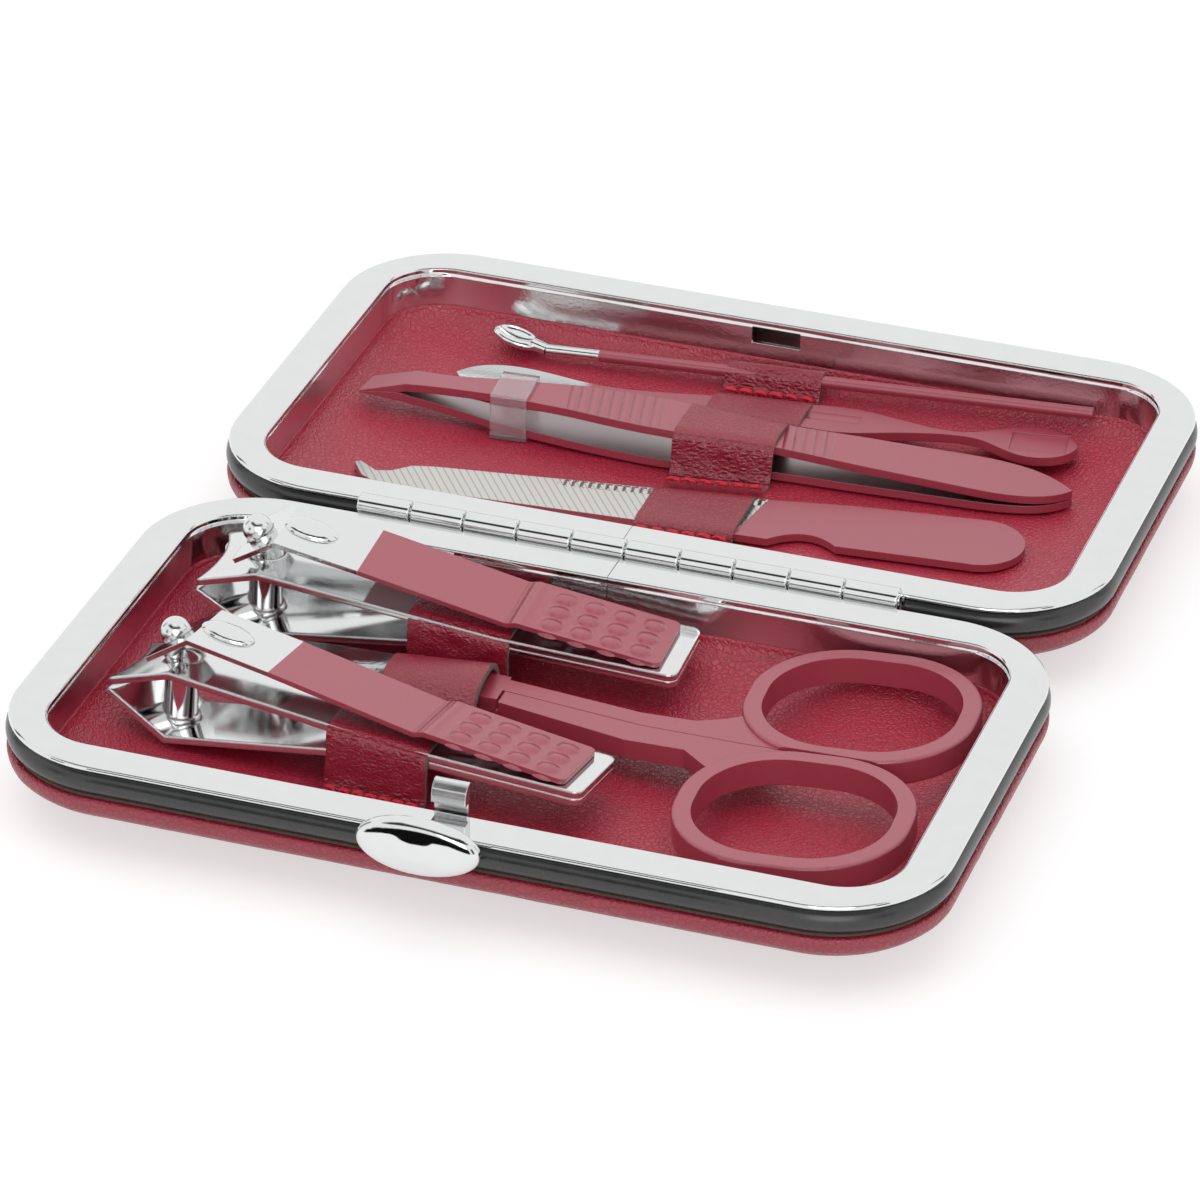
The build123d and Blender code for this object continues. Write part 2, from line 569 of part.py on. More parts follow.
def arm_sections():
    """Underside line of each tweezers arm in side view (x, z), tip to tail."""
    upper = [(-47.2, -5.9), (-41.5, -4.85), (-30, -3.85), (-20, -3.65), (-8, -3.8), (5, -4.45),
             (20, -5.55), (34, -6.5), (43, -6.95)]
    lower = [(-47.2, -6.15), (-41.5, -7.5), (-30, -8.75), (-20, -9.05), (-8, -9.1), (5, -9.1),
             (20, -9.1), (34, -9.1), (43, -9.1)]
    return upper, lower


def arm_plan():
    upper = Spline((-41.5, 43.2), (-30, 43.0), (-18.8, 44.5), (-8, 45.0), (6, 45.0), (15, 46.4),
                   (25, 47.8), (34, 48.6), (42.4, 45.2))
    lower = Spline((42.4, 45.2), (40, 42.6), (33.8, 40.6), (27.2, 40.1), (13, 39.3), (4, 38.8),
                   (-7, 37.3), (-18, 37.7), (-29, 38.6), (-37.6, 39.3), (-42, 39.3))
    tip = Polyline((-42, 39.3), (-47.3, 37.6), (-46.8, 41.7), (-41.5, 43.2))
    return Pos(0, 0, -12) * extrude(make_face([upper, lower, tip]), 12)


def arm_top(x):
    """Height of the upper arm's top face."""
    line = arm_sections()[0]
    for (x0, z0), (x1, z1) in zip(line, line[1:]):
        if x0 <= x <= x1:
            return z0 + (z1 - z0) * (x - x0) / (x1 - x0) + ARM_SHEET


def tweezers_parts():
    top_line, low_line = arm_sections()
    plan = arm_plan()
    upper_face = polygon(top_line + offset_line(top_line, -ARM_SHEET)[::-1], Plane.XZ)
    lower_face = polygon(low_line + offset_line(low_line, ARM_SHEET)[::-1], Plane.XZ)
    # the two tips meet on this line, the tails on the weld at the right
    split = [(-48, -6.0), (-46.2, -6.02), (-30, -6.3), (0, -7.0), (36, -8.03), (44, -8.03)]
    above = extrude(polygon(split + [(44, 0), (-48, 0)], Plane.XZ), -60)
    under = extrude(polygon(split + [(44, -12), (-48, -12)], Plane.XZ), -60)
    upper = extrude(upper_face, -60) & plan & (Pos(0, 0, 0.02) * above)
    lower = extrude(lower_face, -60) & plan & (Pos(0, 0, -0.02) * under)
    for x in [-20.3 + i * 1.35 for i in range(9)] + [7.4 + i * 1.3 for i in range(5)]:
        centre_z = arm_top(x) + RIB_RADIUS - RIB_DEPTH
        rib = Pos(x, 41.5, centre_z) * Rot(Z=12) * Rot(X=90) * Cylinder(RIB_RADIUS, 16)
        upper = upper - rib
    save_tool("tweezers_upper_arm", upper, -1)
    save_tool("tweezers_lower_arm", lower, -1)

    # clear sleeve slid over both arms: a thin flattened tube
    height = 5.95
    inside = Box(SLEEVE_LENGTH + 1, 6.6 - 2 * SLEEVE_WALL, height - 2 * SLEEVE_WALL)
    tube = Box(SLEEVE_LENGTH, 6.6, height) - inside
    save_tool("tweezers_tip_guard", Pos(-27.9, 40.9, -6.3) * Rot(Z=4) * tube, -1)


# ---- straps ----
def strap(x0, under0, x1, under1):
    """One strip pressed down on the lining between the tools, looped over each."""
    near = bent_strip(under0, STRAP, Plane.YZ.offset(x0))
    far = bent_strip(under1, STRAP, Plane.YZ.offset(x1))
    return loft([near, far], ruled=True)


def strap_parts():
    f = FLOOR_Z + 0.02
    right = [(-50.5, f), (-49.0, f), (-48.3, -2.2), (-36.5, -3.3), (-36.1, f), (-33.3, f),
             (-32.6, -5.0), (-29.4, -2.7), (-25.6, -2.5), (-23.0, -4.4), (-22.7, f), (-20.5, f),
             (-20.2, -2.6), (-8.6, -2.1), (-8.4, -6.5)]
    left = [(-49.9, f), (-48.3, f), (-47.4, -1.4), (-35.6, -2.5), (-35.2, f), (-32.6, f),
            (-31.7, -5.9), (-28.2, -4.2), (-25.2, -4.2), (-22.9, -5.1), (-22.7, f), (-20.8, f),
            (-20.5, -1.4), (-8.9, -0.9), (-8.7, -6.4)]
    save_tool("base_loop_strap", strap(BASE_STRAP_X, left, BASE_STRAP_X + STRAP_WIDTH, right))
    left = [(20.0, f), (21.1, f), (21.6, -7.7), (30.6, -7.7), (31.1, f), (35.7, f), (36.5, -3.4),
            (45.4, -3.4), (45.9, f), (48.4, f), (48.6, -6.8), (55.4, -6.8), (55.8, -8.85),
            (57.9, -8.25), (58.4, -5.2), (60.8, -5.2), (61.1, -5.9)]
    right = [(20.6, f), (22.0, f), (22.5, -7.7), (32.4, -7.7), (33.0, f), (37.6, f), (38.4, -4.0),
             (45.3, -4.0), (45.9, f), (49.1, f), (49.3, -6.6), (56.2, -6.6), (56.5, -8.7),
             (58.3, -8.1), (58.8, -4.7), (61.1, -4.7), (61.25, -5.8)]
    save_tool("lid_loop_strap", strap(LID_STRAP_X, left, LID_STRAP_X + STRAP_WIDTH, right), -1)


case_parts()
clasp_parts()
clipper_parts()
scissors_parts()
save_tool("nail_file", nail_file(), -1)
save_tool("cuticle_pusher", cuticle_pusher(), -1)
save_tool("ear_pick", ear_pick(), -1)
tweezers_parts()
strap_parts()
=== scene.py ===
import bpy
import math
from mathutils import Matrix, Vector, noise


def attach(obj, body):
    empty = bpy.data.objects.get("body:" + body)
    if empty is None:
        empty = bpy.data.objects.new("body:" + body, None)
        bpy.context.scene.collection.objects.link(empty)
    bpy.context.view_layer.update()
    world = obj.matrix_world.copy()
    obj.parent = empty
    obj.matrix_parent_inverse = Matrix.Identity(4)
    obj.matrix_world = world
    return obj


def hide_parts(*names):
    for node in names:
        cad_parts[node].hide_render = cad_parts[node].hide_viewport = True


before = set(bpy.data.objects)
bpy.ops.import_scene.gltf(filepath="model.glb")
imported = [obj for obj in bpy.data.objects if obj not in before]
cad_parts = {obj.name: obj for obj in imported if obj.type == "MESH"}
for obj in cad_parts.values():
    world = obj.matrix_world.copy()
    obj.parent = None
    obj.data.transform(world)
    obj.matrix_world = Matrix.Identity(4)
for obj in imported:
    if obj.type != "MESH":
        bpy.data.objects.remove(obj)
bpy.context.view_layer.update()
MM = 0.001

# Lengths are in millimetres about the drawing's origin: the hinge line, with z = 0 on the flanges.
HALF_HEIGHT = 11.6           # height of the flanges over the table
HINGE_Y = 1.825              # place of the hinge line in the shared frame
FRAME_LENGTH, FRAME_WIDTH, FRAME_GAP = 110.0, 65.5, 3.4
FLANGE_WIDTH, WELL_CORNER, OUTER_CORNER = 4.9, 7.2, 14.0
WALL_DEPTH, FLOOR_Z = 5.2, -9.4
DISH_INSET = 10.0            # run of the well's rounding from wall to floor
DISH_ROUNDING = 0.1          # growth of the well's corner radius per mm of inset
HALF_Y = -(FRAME_GAP + FRAME_WIDTH) / 2
STRAP = 0.8                  # thickness of the loop leather
RING_POINTS = 320            # points round a rounded rectangle

CRIMSON = (0.33, 0.010, 0.034)
# LINING is the lining leather's crimson, set brighter than its own tone to make up for the shade in
# the deep wells: partly painted light.
LINING = (0.47, 0.02, 0.055)
COAT = (0.355, 0.042, 0.072)
COAT_ROUGHNESS = 0.33
STEEL = (0.76, 0.77, 0.77)
WHITE = (1, 1, 1)


def place(x, y, z):
    """A point of the drawing, as metres in the shared frame."""
    return Vector((x, y + HINGE_Y, z + HALF_HEIGHT)) * MM


# ---------------------------------------------------------------- camera, floor and light
def make_camera():
    """The camera, at the photograph's viewing angle."""
    eye = place(208.89, -663.37, 388.42)
    right = Vector((0.94889455, 0.31498749, 0.01954521))
    back = Vector((0.26476534, -0.82824616, 0.49387005))
    up = back.cross(right)
    data = bpy.data.cameras.new("camera")
    data.sensor_width, data.lens = 36, 203.688
    data.clip_start, data.clip_end = 0.05, 20
    camera = bpy.data.objects.new("camera", data)
    bpy.context.scene.collection.objects.link(camera)
    rows = Matrix((right, up, back)).transposed().to_4x4()
    camera.matrix_world = Matrix.Translation(eye) @ rows
    bpy.context.scene.camera = camera


def node(tree, kind, **values):
    """A new node; each value is set as a property or, failing that, as an input."""
    made = tree.nodes.new(kind)
    for key, value in values.items():
        if key in made.bl_rna.properties:
            setattr(made, key, value)
        else:
            made.inputs[key.replace("_", " ")].default_value = value
    return made


def math_node(tree, operation, a, b=None):
    made = node(tree, "ShaderNodeMath", operation=operation)
    for index, value in ((0, a), (1, b)):
        if value is None:
            continue
        if isinstance(value, bpy.types.NodeSocket):
            tree.links.new(value, made.inputs[index])
        else:
            made.inputs[index].default_value = value
    return made.outputs[0]


def smooth_range(tree, value, low, high):
    """0 where value is low, 1 where it is high, with a smooth step between."""
    made = node(tree, "ShaderNodeMapRange", interpolation_type="SMOOTHSTEP")
    tree.links.new(value, made.inputs["Value"])
    made.inputs["From Min"].default_value = low
    made.inputs["From Max"].default_value = high
    return made.outputs["Result"]


def band_of(tree, value, low, high, soft):
    """1 where value lies between low and high, 0 elsewhere, with soft edges."""
    up = smooth_range(tree, value, low - soft, low + soft)
    down = smooth_range(tree, value, high + soft, high - soft)
    return math_node(tree, "MULTIPLY", up, down)


def product(tree, first, *others):
    for other in others:
        first = math_node(tree, "MULTIPLY", first, other)
    return first


def panel(tree, split, azimuth, half_width, low, high):
    """A dark upright panel of the room, at that azimuth in degrees, between two heights."""
    a = math.radians(azimuth)
    side = math_node(tree, "ADD", math_node(tree, "MULTIPLY", split.outputs[0], -math.sin(a)),
                     math_node(tree, "MULTIPLY", split.outputs[1], math.cos(a)))
    ahead = math_node(tree, "ADD", math_node(tree, "MULTIPLY", split.outputs[0], math.cos(a)),
                      math_node(tree, "MULTIPLY", split.outputs[1], math.sin(a)))
    across = band_of(tree, side, -half_width, half_width, 0.02)
    up = band_of(tree, split.outputs[2], low, high, 0.03)
    return product(tree, across, up, smooth_range(tree, ahead, 0.0, 0.1))


# dark seams of the tent: azimuth in degrees, half width, lowest and highest point of each
SEAMS = [(-28, 0.10, 0.02, 0.42), (168, 0.08, 0.02, 0.5), (222, 0.12, 0.02, 0.35),
         (38, 0.05, 0.1, 0.6)]


def make_world():
    """A white tent with a dark opening high over the camera and a few dark seams."""
    world = bpy.data.worlds.new("studio")
    bpy.context.scene.world = world
    world.use_nodes = True
    tree = world.node_tree
    tree.nodes.clear()
    out = node(tree, "ShaderNodeOutputWorld")
    path = node(tree, "ShaderNodeLightPath")
    where = node(tree, "ShaderNodeTexCoord")
    split = node(tree, "ShaderNodeSeparateXYZ")
    tree.links.new(where.outputs["Generated"], split.inputs[0])
    forward = math_node(tree, "MULTIPLY", split.outputs[1], -1.0)
    dark = math_node(tree, "MULTIPLY", smooth_range(tree, forward, 0.12, 0.2),
                     band_of(tree, split.outputs[2], 0.68, 0.88, 0.02))
    for azimuth, width, low, high in SEAMS:
        seam = panel(tree, split, azimuth, width, low, high)
        dark = math_node(tree, "MAXIMUM", dark, seam)
    shown = math_node(tree, "SUBTRACT", 1.0, math_node(tree, "MULTIPLY", dark, 0.96))
    glossy = node(tree, "ShaderNodeBackground")
    tree.links.new(shown, glossy.inputs["Strength"])
    plain = node(tree, "ShaderNodeBackground", Strength=1.0)
    soft = node(tree, "ShaderNodeBackground", Strength=0.6)
    for shader in (glossy, plain, soft):
        shader.inputs["Color"].default_value = (*WHITE, 1)
    lighting = node(tree, "ShaderNodeMixShader")
    whole = node(tree, "ShaderNodeMixShader")
    seen = math_node(tree, "MAXIMUM", path.outputs["Is Camera Ray"],
                     path.outputs["Is Transmission Ray"])
    mixes = ((lighting, path.outputs["Is Glossy Ray"], soft, glossy),
             (whole, seen, lighting, plain))
    for mix, factor, low, high in mixes:
        tree.links.new(factor, mix.inputs[0])
        tree.links.new(low.outputs[0], mix.inputs[1])
        tree.links.new(high.outputs[0], mix.inputs[2])
    tree.links.new(whole.outputs[0], out.inputs[0])


def make_floor():
    """A pale floor that takes the object's shadow and shows white around it."""
    bpy.ops.mesh.primitive_plane_add(size=6, location=(0, 0, 0))
    floor = bpy.context.object
    floor.name = "studio_floor"
    mat = material("studio_floor", (0.86, 0.86, 0.86), 0.9)
    tree, shader = mat.node_tree, shader_of(mat)
    shader.inputs["Specular IOR Level"].default_value = 0.0
    path = node(tree, "ShaderNodeLightPath")
    seen = math_node(tree, "MAXIMUM", path.outputs["Is Camera Ray"],
                     path.outputs["Is Glossy Ray"])
    colour_between(mat, seen, (0.86, 0.86, 0.86), (0.5, 0.5, 0.5))
    shader.inputs["Emission Color"].default_value = (*WHITE, 1)
    tree.links.new(math_node(tree, "MULTIPLY", seen, 0.58), shader.inputs["Emission Strength"])
    floor.data.materials.append(mat)


def make_card():
    """A small black card low before the button, seen by nothing but the polished parts."""
    left, right, front, low, high = -50, 26, -92, -1, 10
    corners = [(left, front, low), (right, front, low), (right, front, high), (left, front, high)]
    mat = material("studio_card", (0.01, 0.01, 0.01), 0.5)
    shader_of(mat).inputs["Specular IOR Level"].default_value = 0.0
    mesh = bpy.data.meshes.new("studio_card")
    mesh.from_pydata([place(*corner) for corner in corners], [], [(0, 1, 2, 3)])
    mesh.materials.append(mat)
    card = bpy.data.objects.new("studio_card", mesh)
    bpy.context.scene.collection.objects.link(card)
    card.visible_camera = card.visible_diffuse = card.visible_shadow = False
    card.visible_transmission = False


def area_light(name, location, size, power):
    """A square lamp that looks at the middle of the object; metres and watts."""
    data = bpy.data.lights.new(name, "AREA")
    data.shape, data.size, data.energy = "SQUARE", size, power
    lamp = bpy.data.objects.new(name, data)
    bpy.context.scene.collection.objects.link(lamp)
    lamp.location = location
    lamp.rotation_euler = (-Vector(location)).to_track_quat("-Z", "Y").to_euler()
    return lamp


def make_lights():
    key = area_light("key", (-0.12, -0.05, 1.2), 1.5, 6.9)
    key.visible_glossy = False   # polished parts mirror the tent alone, so they don't clip
    area_light("fill", (0.35, -1.0, 0.45), 0.7, 2.6)


# ---------------------------------------------------------------- materials
def material(name, colour, roughness, metallic=0.0):
    mat = bpy.data.materials.new(name)
    mat.use_nodes = True
    shader = shader_of(mat)
    shader.inputs["Base Color"].default_value = (*colour, 1)
    shader.inputs["Roughness"].default_value = roughness
    shader.inputs["Metallic"].default_value = metallic
    mat.diffuse_color = (*colour, 1)
    return mat


def shader_of(mat):
    return mat.node_tree.nodes["Principled BSDF"]


def millimetres(mat):
    """Object coordinates in millimetres."""
    tree = mat.node_tree
    where = node(tree, "ShaderNodeTexCoord")
    scale = node(tree, "ShaderNodeMapping")
    scale.inputs["Scale"].default_value = (1000, 1000, 1000)
    tree.links.new(where.outputs["Object"], scale.inputs["Vector"])
    return scale.outputs["Vector"]


def noise_of(mat, where, scale, detail=2.0, roughness=0.5, distortion=0.0):
    """Soft cloudy noise, 0 to 1; scale is in waves per millimetre."""
    tree = mat.node_tree
    made = node(tree, "ShaderNodeTexNoise", Scale=scale, Detail=detail, Roughness=roughness,
                Distortion=distortion)
    tree.links.new(where, made.inputs["Vector"])
    return made.outputs[0]


def cells_of(mat, where, scale):
    """Distance from the border between irregular cells."""
    tree = mat.node_tree
    made = node(tree, "ShaderNodeTexVoronoi", feature="DISTANCE_TO_EDGE", Scale=scale)
    tree.links.new(where, made.inputs["Vector"])
    return made.outputs["Distance"]


def bump(mat, height, depth_mm):
    """Adds a bump of that depth; a second call goes on top of the first."""
    tree, shader = mat.node_tree, shader_of(mat)
    made = node(tree, "ShaderNodeBump", Strength=1.0, Distance=depth_mm * MM)
    if shader.inputs["Normal"].links:
        tree.links.new(shader.inputs["Normal"].links[0].from_socket, made.inputs["Normal"])
    tree.links.new(height, made.inputs["Height"])
    tree.links.new(made.outputs[0], shader.inputs["Normal"])


def colour_mix(mat, factor, low, high):
    """A colour that runs from low to high with factor; each end is a colour or a socket."""
    tree = mat.node_tree
    mix = node(tree, "ShaderNodeMix", data_type="RGBA")
    tree.links.new(factor, mix.inputs["Factor"])
    for end, value in (("A", low), ("B", high)):
        target = [i for i in mix.inputs if i.name == end and i.type == "RGBA"][0]
        if isinstance(value, bpy.types.NodeSocket):
            tree.links.new(value, target)
        else:
            target.default_value = (*value, 1)
    return [o for o in mix.outputs if o.type == "RGBA"][0]


def colour_between(mat, factor, low, high):
    """Gives the shader a colour that runs from low to high with factor."""
    mixed = colour_mix(mat, factor, low, high)
    mat.node_tree.links.new(mixed, shader_of(mat).inputs["Base Color"])


def scaled(colour, factor):
    return [min(c * factor, 1) for c in colour]


def value_between(mat, factor, low, high, socket):
    """A number of the shader that runs from low to high with factor."""
    tree, shader = mat.node_tree, shader_of(mat)
    made = node(tree, "ShaderNodeMapRange")
    tree.links.new(factor, made.inputs["Value"])
    made.inputs["To Min"].default_value = low
    made.inputs["To Max"].default_value = high
    tree.links.new(made.outputs[0], shader.inputs[socket])


def ease_edges(mat, radius_mm):
    """Shades the solid's sharp edges as the small rounding that they really have."""
    tree = mat.node_tree
    made = node(tree, "ShaderNodeBevel", Radius=radius_mm * MM)
    made.samples = 6
    tree.links.new(made.outputs[0], shader_of(mat).inputs["Normal"])


def chrome(name, roughness, tint=STEEL, edge=0.15, wave=0.02):
    """Plated sheet, with edges eased by edge and a faint waviness, both in millimetres."""
    mat = material(name, tint, roughness, metallic=1.0)
    ease_edges(mat, edge)
    where = millimetres(mat)
    cloud = noise_of(mat, where, 0.35, 3)
    value_between(mat, cloud, roughness * 0.7, roughness * 1.5, "Roughness")
    colour_between(mat, cloud, scaled(tint, 0.97), scaled(tint, 1.03))
    bump(mat, noise_of(mat, where, 0.16, 1), wave)
    return mat


def leather(name, colour, grain, cell, roughness, index):
    """Pressed leatherette: irregular cells with rounded tops and fine creases between them."""
    mat = material(name, colour, roughness)
    shader_of(mat).inputs["IOR"].default_value = index
    where = millimetres(mat)
    warp = noise_of(mat, where, 0.9, 2)
    tree = mat.node_tree
    shifted = node(tree, "ShaderNodeVectorMath", operation="ADD")
    tree.links.new(where, shifted.inputs[0])
    push = node(tree, "ShaderNodeVectorMath", operation="SCALE", Scale=0.9)
    tree.links.new(warp.node.outputs[1], push.inputs[0])
    tree.links.new(push.outputs[0], shifted.inputs[1])
    cells = cells_of(mat, shifted.outputs[0], cell)
    tops = smooth_range(tree, cells, 0.0, 0.22)
    bump(mat, tops, 0.035 * grain)
    bump(mat, noise_of(mat, where, 4.5, 3, 0.6), 0.03 * grain)
    cloud = noise_of(mat, where, 0.12, 3)
    mottled = colour_mix(mat, cloud, scaled(colour, 0.86), scaled(colour, 1.12))
    # Painted shade: the creases between the cells are painted at 0.8 of the colour, and the cell
    # tops are mottled.
    colour_between(mat, tops, scaled(colour, 0.8), mottled)
    value_between(mat, tops, roughness * 1.3, roughness * 0.95, "Roughness")
    return mat


def wrinkle(mat):
    """Creases where a loop turns down beside a tool; its top stays drawn smooth."""
    tree = mat.node_tree
    where = millimetres(mat)
    bend = band_of(tree, facing_up(mat), 0.12, 0.86, 0.1)
    stretched = node(tree, "ShaderNodeMapping")
    stretched.inputs["Scale"].default_value = (0.7, 1.0, 1.3)
    tree.links.new(where, stretched.inputs["Vector"])
    pebbles = smooth_range(tree, cells_of(mat, stretched.outputs[0], 1.35), 0.0, 0.5)
    bump(mat, math_node(tree, "MULTIPLY", pebbles, bend), 0.11)
    steep = smooth_range(tree, facing_up(mat), 0.93, 0.55)
    folds = noise_of(mat, where, 0.32, 1)
    bump(mat, math_node(tree, "MULTIPLY", folds, steep), 0.6)


def coated(name):
    """Sprayed enamel on steel, with a slight orange-peel."""
    mat = material(name, COAT, COAT_ROUGHNESS)
    shader_of(mat).inputs["IOR"].default_value = 1.95
    ease_edges(mat, 0.12)
    where = millimetres(mat)
    cloud = noise_of(mat, where, 0.25, 2)
    colour_between(mat, cloud, scaled(COAT, 0.95), scaled(COAT, 1.05))
    value_between(mat, cloud, COAT_ROUGHNESS * 0.92, COAT_ROUGHNESS * 1.1, "Roughness")
    bump(mat, noise_of(mat, where, 2.2, 2), 0.012)
    return mat


def along(mat, origin, axis):
    """Distance of the surface point from origin along axis, in millimetres."""
    tree = mat.node_tree
    where = millimetres(mat)
    dot = node(tree, "ShaderNodeVectorMath", operation="DOT_PRODUCT")
    tree.links.new(where, dot.inputs[0])
    dot.inputs[1].default_value = tuple(axis)
    start = Vector(origin).dot(Vector(axis)) / MM
    return math_node(tree, "SUBTRACT", dot.outputs["Value"], start)


def part_metal(mat, mask, metal_colour, metal_roughness):
    """Coated where mask is 0, bare metal where it is 1."""
    colour_between(mat, mask, COAT, metal_colour)
    value_between(mat, mask, 0.0, 1.0, "Metallic")
    value_between(mat, mask, COAT_ROUGHNESS, metal_roughness, "Roughness")


def half_coated(name, origin, axis, edge=0.0, softness=0.05):
    """A coated tool that is bright steel from edge on, along axis."""
    mat = coated(name)
    distance = along(mat, origin, axis)
    mask = smooth_range(mat.node_tree, distance, edge - softness, edge + softness)
    part_metal(mat, mask, STEEL, 0.07)
    return mat


def facing_up(mat):
    """How far the surface of the piece faces up when the case lies open."""
    tree = mat.node_tree
    split = node(tree, "ShaderNodeSeparateXYZ")
    tree.links.new(node(tree, "ShaderNodeTexCoord").outputs["Normal"], split.inputs[0])
    return split.outputs[2]


def ribs(mat):
    """Pressed grip ribs across the arm, nine on one side of the loop and five on the other."""
    tree = mat.node_tree
    lean = math.radians(12)
    across = (math.cos(lean), math.sin(lean), 0)
    top = smooth_range(tree, facing_up(mat), 0.8, 0.9)
    for x, pitch, count in ((-21.0, 1.35, 9), (6.7, 1.3, 5)):
        step = pitch * math.cos(lean)
        distance = along(mat, place(x, 41.5, 0), across)
        wave = math_node(tree, "ABSOLUTE", math_node(tree, "SINE", math_node(
            tree, "MULTIPLY", distance, math.pi / step)))
        inside = band_of(tree, distance, 0.0, step * count, 0.1)
        bump(mat, product(tree, wave, inside, top), 0.3)


def inside_bare(name, side):
    """A coated arm whose inner face, up or down, is brushed bare steel."""
    mat = coated(name)
    tree = mat.node_tree
    mask = smooth_range(tree, math_node(tree, "MULTIPLY", facing_up(mat), side), 0.80, 0.90)
    part_metal(mat, mask, (0.40, 0.34, 0.345), 0.36)
    if side < 0:
        ribs(mat)
    return mat


def dress(mat, *names):
    """Gives the named solids that material."""
    for name in names:
        for material_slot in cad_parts[name].material_slots:
            material_slot.material = mat


def in_cells(tree, value, start, pitch):
    """0 on the line between two cells, rising to 1 over each cell's flat middle."""
    place_in_cell = math_node(tree, "FRACT", math_node(tree, "DIVIDE", math_node(
        tree, "SUBTRACT", value, start), pitch))
    from_middle = math_node(tree, "ABSOLUTE", math_node(tree, "SUBTRACT", place_in_cell, 0.5))
    return smooth_range(tree, from_middle, 0.5, 0.1)


PILLOWS_ALONG = (3.35, 3.6, 4)       # start, pitch and count along the lever
PILLOWS_ACROSS = (-4.025, 2.85, 3)   # and across it


def pillows(mat, origin, axis, across):
    """The square pressed pillows of a lever's thumb pad, four by three."""
    tree = mat.node_tree
    masks = []
    for way, (start, pitch, count) in ((axis, PILLOWS_ALONG), (across, PILLOWS_ACROSS)):
        value = along(mat, origin, way)
        masks.append(in_cells(tree, value, start, pitch))
        masks.append(band_of(tree, value, start, start + pitch * count, 0.05))
    bump(mat, product(tree, *masks), 0.26)


def fold_line(mat, origin, axis):
    """The pressed fold between the thumb pad and the arm: a valley with a rounded lip before it."""
    tree = mat.node_tree
    u = along(mat, origin, axis)
    valley = band_of(tree, u, 20.35, 20.75, 0.3)
    lip = band_of(tree, u, 18.7, 19.6, 0.5)
    top = smooth_range(tree, facing_up(mat), 0.5, 0.7)
    height = math_node(tree, "SUBTRACT", math_node(tree, "MULTIPLY", lip, 0.6), valley)
    bump(mat, math_node(tree, "MULTIPLY", height, top), 0.34)


def clipper_axes(pose):
    """A clipper's origin with the ways along and across it, from its place and its turns."""
    x, y, z, yaw, pitch, roll = pose
    turn = Matrix.Identity(3)
    for angle, way in ((yaw, "Z"), (pitch, "Y"), (roll, "X"), (180, "Z")):
        turn = turn @ Matrix.Rotation(math.radians(angle), 3, way)
    return place(x, y, z), turn @ Vector((1, 0, 0)), turn @ Vector((0, 1, 0))


CLIPPER_POSES = {"a": (11.14, -44.02, -5.18, -4.68, 1.21, -5.9),
                 "b": (12.14, -13.9, -5.38, 1.38, 2.76, 2.5)}


def dent_corners(mat):
    """The pressed inner wall is puckered where it goes round the well's corners."""
    tree = mat.node_tree
    where = millimetres(mat)
    split = node(tree, "ShaderNodeSeparateXYZ")
    tree.links.new(where, split.inputs[0])
    x_far = smooth_range(tree, math_node(tree, "ABSOLUTE", split.outputs[0]), 43.5, 47.0)
    across = math_node(tree, "ABSOLUTE", math_node(tree, "SUBTRACT", split.outputs[1], HINGE_Y))
    from_middle = math_node(tree, "ABSOLUTE", math_node(tree, "ADD", across, HALF_Y))
    y_far = smooth_range(tree, from_middle, 21.5, 24.5)
    low = smooth_range(tree, split.outputs[2], HALF_HEIGHT - 0.7, HALF_HEIGHT - 1.3)
    folds = noise_of(mat, where, 0.2, 1, 0.5, 0.5)
    bump(mat, product(tree, folds, x_far, y_far, low), 1.1)
    ripple = noise_of(mat, where, 0.1, 1)
    bump(mat, math_node(tree, "MULTIPLY", ripple, low), 0.35)
    bump(mat, math_node(tree, "MULTIPLY", noise_of(mat, where, 2.5, 3), low), 0.03)
    value_between(mat, low, 0.06, 0.17, "Roughness")


def dress_frame_parts():
    frame_metal = chrome("frame_chrome", 0.06)
    dent_corners(frame_metal)
    dress(frame_metal, "base_frame", "lid_frame")
    dress(chrome("hinge_chrome", 0.05), "base_hinge_leaf", "lid_hinge_leaf", "hinge_pin")
    dress(chrome("clasp_chrome", 0.04, edge=0.3), "clasp_button")
    dress(chrome("hook_chrome", 0.22, edge=0.3), "clasp_hook")
    dress(chrome("spring_steel", 0.2, (0.5, 0.5, 0.5)), "clasp_spring")
    band = material("band_black", (0.018, 0.019, 0.019), 0.26)
    shader_of(band).inputs["IOR"].default_value = 1.6
    where = millimetres(band)
    cloud = noise_of(band, where, 0.5, 3)
    colour_between(band, cloud, (0.013, 0.014, 0.014), (0.03, 0.031, 0.03))
    value_between(band, cloud, 0.22, 0.3, "Roughness")
    bump(band, noise_of(band, where, 6.0, 2), 0.008)
    dress(band, "base_trim_band", "lid_trim_band")
    board = material("board_card", (0.32, 0.27, 0.2), 0.9)
    fibres = noise_of(board, millimetres(board), 2.0, 4)
    colour_between(board, fibres, (0.25, 0.2, 0.15), (0.4, 0.34, 0.26))
    dress(board, "base_board", "lid_board")


